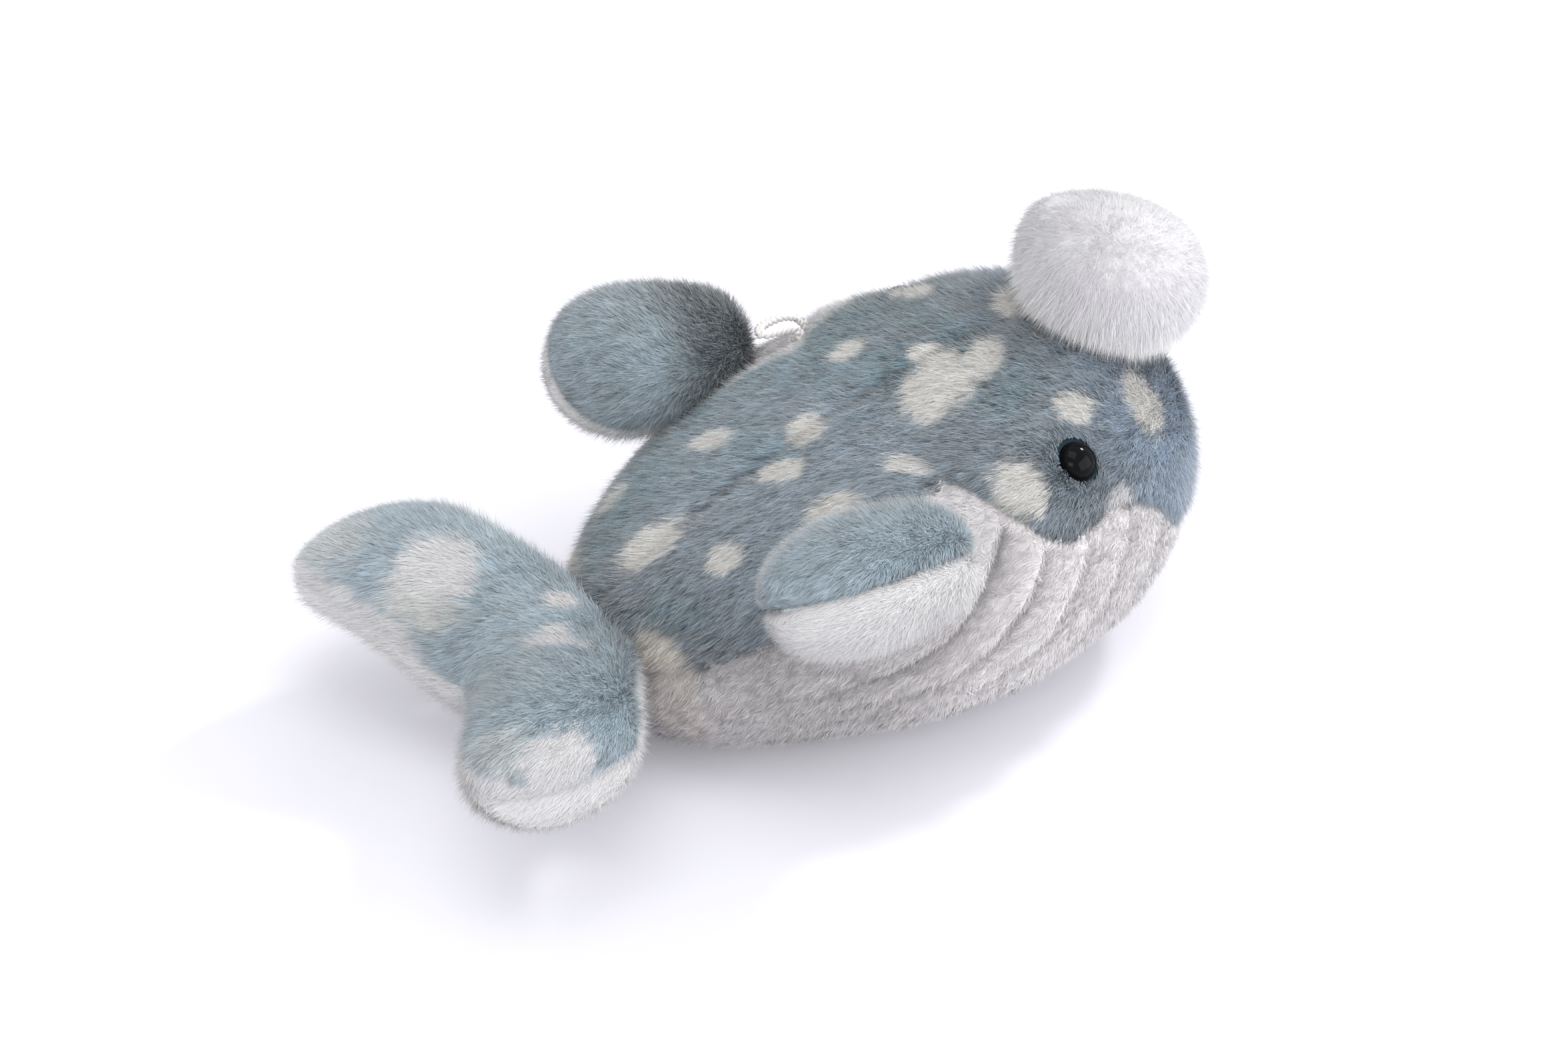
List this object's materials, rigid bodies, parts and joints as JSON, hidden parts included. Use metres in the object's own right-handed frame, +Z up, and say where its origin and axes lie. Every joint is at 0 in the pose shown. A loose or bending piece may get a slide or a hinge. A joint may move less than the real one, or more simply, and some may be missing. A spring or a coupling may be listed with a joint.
{
  "type": "plush whale",
  "caption": "Stuffed toy whale in long pile plush, with a pleated pale belly, soft flippers and flukes, a fur pompom on the head, glossy eyes and a side hanging loop.",
  "frame": {"origin": "under the middle of the whole toy, on the surface that its belly lies on", "axes": "+Z up, -Y towards the nose, +Y towards the tail, +X towards the whale's left"},
  "size_m": [0.1646, 0.254, 0.1231],
  "materials": {
    "blue_fur": "long soft pile, combed back",
    "white_fur": "long soft pile, combed back",
    "pompom_fur": "long straight fur",
    "filling": "loose polyester fibre",
    "thread": "bonded thread",
    "cord": "braided cord",
    "eye": "polished dome",
    "washer": "moulded"
  },
  "bodies": {
    "body": {"back_panel_left": "blue_fur", "back_panel_right": "blue_fur", "belly_panel": "white_fur", "body_filling": "filling", "hang_loop": "cord", "eye_left": "eye", "eye_washer_left": "washer", "eye_right": "eye", "eye_washer_right": "washer"},
    "flipper_left": {"flipper_left_top": "blue_fur", "flipper_left_underside": "white_fur", "flipper_left_filling": "filling"},
    "flipper_right": {"flipper_right_top": "blue_fur", "flipper_right_underside": "white_fur", "flipper_right_filling": "filling"},
    "tail": {"tail_top": "blue_fur", "tail_underside": "white_fur", "tail_filling": "filling"},
    "pompom": {"pompom_fur": "pompom_fur", "pompom_filling": "filling", "pompom_tie": "thread"}
  },
  "joints": [
    {"name": "flipper_left_bend", "type": "hinge", "parent": "body", "child": "flipper_left", "pos_m": [0.056, -0.0201, 0.0686], "axis": [0, -1, 0], "range_deg": [-15, 20], "stiffness_Nm_per_rad": 0.1},
    {"name": "flipper_right_bend", "type": "hinge", "parent": "body", "child": "flipper_right", "pos_m": [-0.056, -0.0201, 0.0686], "axis": [0, 1, 0], "range_deg": [-15, 20], "stiffness_Nm_per_rad": 0.1},
    {"name": "tail_bend", "type": "hinge", "parent": "body", "child": "tail", "pos_m": [0, 0.0412, 0.0296], "axis": [1, 0, 0], "range_deg": [-12, 14], "stiffness_Nm_per_rad": 0.3},
    {"name": "pompom_lean", "type": "hinge", "parent": "body", "child": "pompom", "pos_m": [-0.0046, -0.0982, 0.0911], "axis": [0, 1, 0], "range_deg": [-12, 12], "stiffness_Nm_per_rad": 0.05}
  ]
}
